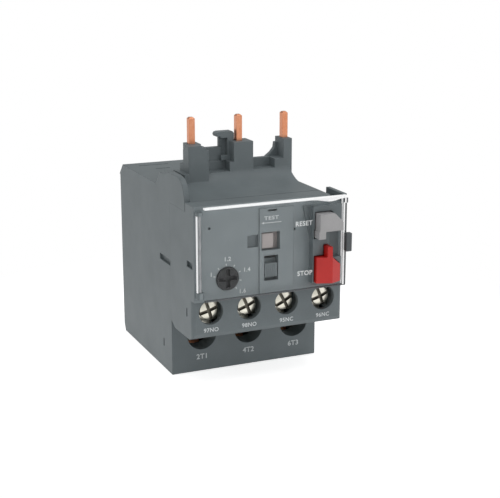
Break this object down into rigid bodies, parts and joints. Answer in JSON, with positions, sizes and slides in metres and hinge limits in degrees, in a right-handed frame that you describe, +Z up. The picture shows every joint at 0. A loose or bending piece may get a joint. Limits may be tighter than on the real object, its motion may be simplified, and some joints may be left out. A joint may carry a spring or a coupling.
{
  "type": "thermal overload relay",
  "caption": "Thermal overload relay with copper plug-in pins, a hinged clear cover, a setting dial, reset and stop buttons and screw terminals.",
  "frame": {"origin": "middle of the footprint, on the bottom face", "axes": "+X to the right, -Y to the front (screws, dial and buttons), +Z up along the pins"},
  "size_m": [0.045, 0.068, 0.0723],
  "materials": {
    "housing_grey": "satin moulded thermoplastic",
    "clear": "clear moulded polycarbonate",
    "dark_plastic": "dark moulded plastic",
    "dial_grey": "dark grey moulded plastic",
    "reset_grey": "light grey moulded plastic",
    "stop_red": "signal red moulded plastic",
    "indicator_white": "off-white moulded plastic",
    "slider_grey": "grey moulded plastic",
    "inner_white": "natural moulded plastic",
    "copper": "bare copper",
    "screw_nickel": "nickel-plated steel",
    "bimetal": "rolled bimetal strip",
    "heater": "resistance ribbon",
    "contact": "silvered contact alloy",
    "spring_steel": "spring steel"
  },
  "bodies": {
    "housing": {"rear_case": "housing_grey", "front_case": "housing_grey", "cover_pin": "spring_steel", "inner_frame": "inner_white", "nc_contact": "contact", "no_contact": "contact", "reset_spring": "spring_steel", "stop_spring": "spring_steel", "input_pin_1": "copper", "input_pin_2": "copper", "input_pin_3": "copper", "heater_1": "heater", "heater_2": "heater", "heater_3": "heater", "power_terminal_1": "copper", "power_terminal_2": "copper", "power_terminal_3": "copper", "aux_terminal_1": "screw_nickel", "aux_terminal_2": "screw_nickel", "aux_terminal_3": "screw_nickel", "aux_terminal_4": "screw_nickel"},
    "cover": {"clear_cover": "clear", "cover_grip": "dark_plastic"},
    "dial": {"setting_dial": "dial_grey", "dial_cam": "inner_white"},
    "adjuster": {"adjust_slide": "inner_white"},
    "reset": {"reset_button": "reset_grey"},
    "stop": {"stop_button": "stop_red"},
    "test": {"test_slider": "indicator_white"},
    "mode": {"mode_slider": "slider_grey"},
    "push": {"push_bar": "inner_white"},
    "pull": {"pull_bar": "inner_white"},
    "trip": {"trip_lever": "inner_white"},
    "rocker": {"contact_rocker": "inner_white"},
    "strip_1": {"bimetal_1": "bimetal"},
    "strip_2": {"bimetal_2": "bimetal"},
    "strip_3": {"bimetal_3": "bimetal"},
    "power_saddle_1": {"power_saddle_1": "screw_nickel"},
    "power_screw_1": {"power_screw_1": "screw_nickel"},
    "power_saddle_2": {"power_saddle_2": "screw_nickel"},
    "power_screw_2": {"power_screw_2": "screw_nickel"},
    "power_saddle_3": {"power_saddle_3": "screw_nickel"},
    "power_screw_3": {"power_screw_3": "screw_nickel"},
    "aux_saddle_1": {"aux_saddle_1": "screw_nickel"},
    "aux_screw_1": {"aux_screw_1": "screw_nickel"},
    "aux_saddle_2": {"aux_saddle_2": "screw_nickel"},
    "aux_screw_2": {"aux_screw_2": "screw_nickel"},
    "aux_saddle_3": {"aux_saddle_3": "screw_nickel"},
    "aux_screw_3": {"aux_screw_3": "screw_nickel"},
    "aux_saddle_4": {"aux_saddle_4": "screw_nickel"},
    "aux_screw_4": {"aux_screw_4": "screw_nickel"}
  },
  "joints": [
    {"name": "cover_hinge", "type": "hinge", "parent": "housing", "child": "cover", "pos_m": [-0.0213, -0.03, 0.04], "axis": [0, 0, -1], "range_deg": [0, 110]},
    {"name": "dial_turn", "type": "hinge", "parent": "housing", "child": "dial", "pos_m": [-0.013, -0.028, 0.0322], "axis": [0, 1, 0], "range_deg": [0, 216.2]},
    {"name": "adjuster_slide", "type": "slide", "parent": "housing", "child": "adjuster", "axis": [-1, 0, 0], "range_m": [0, 0.0018]},
    {"name": "reset_push", "type": "slide", "parent": "housing", "child": "reset", "axis": [0, 1, 0], "range_m": [0, 0.0025], "stiffness_N_per_m": 600, "springref_m": -0.002, "deforming": ["reset_spring"]},
    {"name": "stop_push", "type": "slide", "parent": "housing", "child": "stop", "axis": [0, 1, 0], "range_m": [0, 0.0025], "stiffness_N_per_m": 600, "springref_m": -0.002, "deforming": ["stop_spring"]},
    {"name": "test_slide", "type": "slide", "parent": "housing", "child": "test", "axis": [1, 0, 0], "range_m": [0, 0.0014]},
    {"name": "mode_slide", "type": "slide", "parent": "housing", "child": "mode", "axis": [0, 0, 1], "range_m": [0, 0.0015]},
    {"name": "overload_travel", "type": "slide", "parent": "housing", "child": "push", "axis": [1, 0, 0], "range_m": [0, 0.002]},
    {"name": "pull_travel", "type": "slide", "parent": "housing", "child": "pull", "axis": [1, 0, 0], "range_m": [0, 0.002]},
    {"name": "strip_bend_1", "type": "hinge", "parent": "housing", "child": "strip_1", "pos_m": [-0.0134, 0.014, 0.017], "axis": [0, 1, 0], "range_deg": [0, 4.39]},
    {"name": "strip_bend_2", "type": "hinge", "parent": "housing", "child": "strip_2", "pos_m": [0.001, 0.014, 0.017], "axis": [0, 1, 0], "range_deg": [0, 4.39]},
    {"name": "strip_bend_3", "type": "hinge", "parent": "housing", "child": "strip_3", "pos_m": [0.0154, 0.014, 0.017], "axis": [0, 1, 0], "range_deg": [0, 4.39]},
    {"name": "trip_turn", "type": "hinge", "parent": "housing", "child": "trip", "pos_m": [-0.006, -0.0143, 0.038], "axis": [0, 1, 0], "range_deg": [0, 20]},
    {"name": "contact_turn", "type": "hinge", "parent": "housing", "child": "rocker", "pos_m": [0.007, -0.0143, 0.04], "axis": [0, 1, 0], "range_deg": [0, 10]},
    {"name": "power_clamp_1", "type": "slide", "parent": "housing", "child": "power_saddle_1", "axis": [0, 1, 0], "range_m": [0, 0.0028]},
    {"name": "power_screw_turn_1", "type": "hinge", "parent": "power_saddle_1", "child": "power_screw_1", "pos_m": [-0.0134, -0.005, 0.0108], "axis": [0, 1, 0], "range_deg": [0, 1441]},
    {"name": "power_clamp_2", "type": "slide", "parent": "housing", "child": "power_saddle_2", "axis": [0, 1, 0], "range_m": [0, 0.0028]},
    {"name": "power_screw_turn_2", "type": "hinge", "parent": "power_saddle_2", "child": "power_screw_2", "pos_m": [0.001, -0.005, 0.0108], "axis": [0, 1, 0], "range_deg": [0, 1441]},
    {"name": "power_clamp_3", "type": "slide", "parent": "housing", "child": "power_saddle_3", "axis": [0, 1, 0], "range_m": [0, 0.0028]},
    {"name": "power_screw_turn_3", "type": "hinge", "parent": "power_saddle_3", "child": "power_screw_3", "pos_m": [0.0154, -0.005, 0.0108], "axis": [0, 1, 0], "range_deg": [0, 1441]},
    {"name": "aux_clamp_1", "type": "slide", "parent": "housing", "child": "aux_saddle_1", "axis": [0, 1, 0], "range_m": [0, 0.0021]},
    {"name": "aux_screw_turn_1", "type": "hinge", "parent": "aux_saddle_1", "child": "aux_screw_1", "pos_m": [-0.0171, -0.022, 0.0228], "axis": [0, 1, 0], "range_deg": [0, 1261]},
    {"name": "aux_clamp_2", "type": "slide", "parent": "housing", "child": "aux_saddle_2", "axis": [0, 1, 0], "range_m": [0, 0.0021]},
    {"name": "aux_screw_turn_2", "type": "hinge", "parent": "aux_saddle_2", "child": "aux_screw_2", "pos_m": [-0.0059, -0.022, 0.0228], "axis": [0, 1, 0], "range_deg": [0, 1261]},
    {"name": "aux_clamp_3", "type": "slide", "parent": "housing", "child": "aux_saddle_3", "axis": [0, 1, 0], "range_m": [0, 0.0021]},
    {"name": "aux_screw_turn_3", "type": "hinge", "parent": "aux_saddle_3", "child": "aux_screw_3", "pos_m": [0.0053, -0.022, 0.0228], "axis": [0, 1, 0], "range_deg": [0, 1261]},
    {"name": "aux_clamp_4", "type": "slide", "parent": "housing", "child": "aux_saddle_4", "axis": [0, 1, 0], "range_m": [0, 0.0021]},
    {"name": "aux_screw_turn_4", "type": "hinge", "parent": "aux_saddle_4", "child": "aux_screw_4", "pos_m": [0.0165, -0.022, 0.0228], "axis": [0, 1, 0], "range_deg": [0, 1261]}
  ],
  "couplings": [
    {"joint": "dial_turn", "follows": "adjuster_slide", "rad_per_m": 2094.4},
    {"joint": "pull_travel", "follows": "overload_travel", "ratio": 1},
    {"joint": "strip_bend_1", "follows": "overload_travel", "rad_per_m": 36.565},
    {"joint": "strip_bend_2", "follows": "overload_travel", "rad_per_m": 36.565},
    {"joint": "strip_bend_3", "follows": "overload_travel", "rad_per_m": 36.565},
    {"joint": "trip_turn", "follows": "overload_travel", "rad_per_m": 157.08},
    {"joint": "contact_turn", "follows": "overload_travel", "rad_per_m": 69.813},
    {"joint": "power_screw_turn_1", "follows": "power_clamp_1", "rad_per_m": 8976},
    {"joint": "power_screw_turn_2", "follows": "power_clamp_2", "rad_per_m": 8976},
    {"joint": "power_screw_turn_3", "follows": "power_clamp_3", "rad_per_m": 8976},
    {"joint": "aux_screw_turn_1", "follows": "aux_clamp_1", "rad_per_m": 10472},
    {"joint": "aux_screw_turn_2", "follows": "aux_clamp_2", "rad_per_m": 10472},
    {"joint": "aux_screw_turn_3", "follows": "aux_clamp_3", "rad_per_m": 10472},
    {"joint": "aux_screw_turn_4", "follows": "aux_clamp_4", "rad_per_m": 10472}
  ]
}
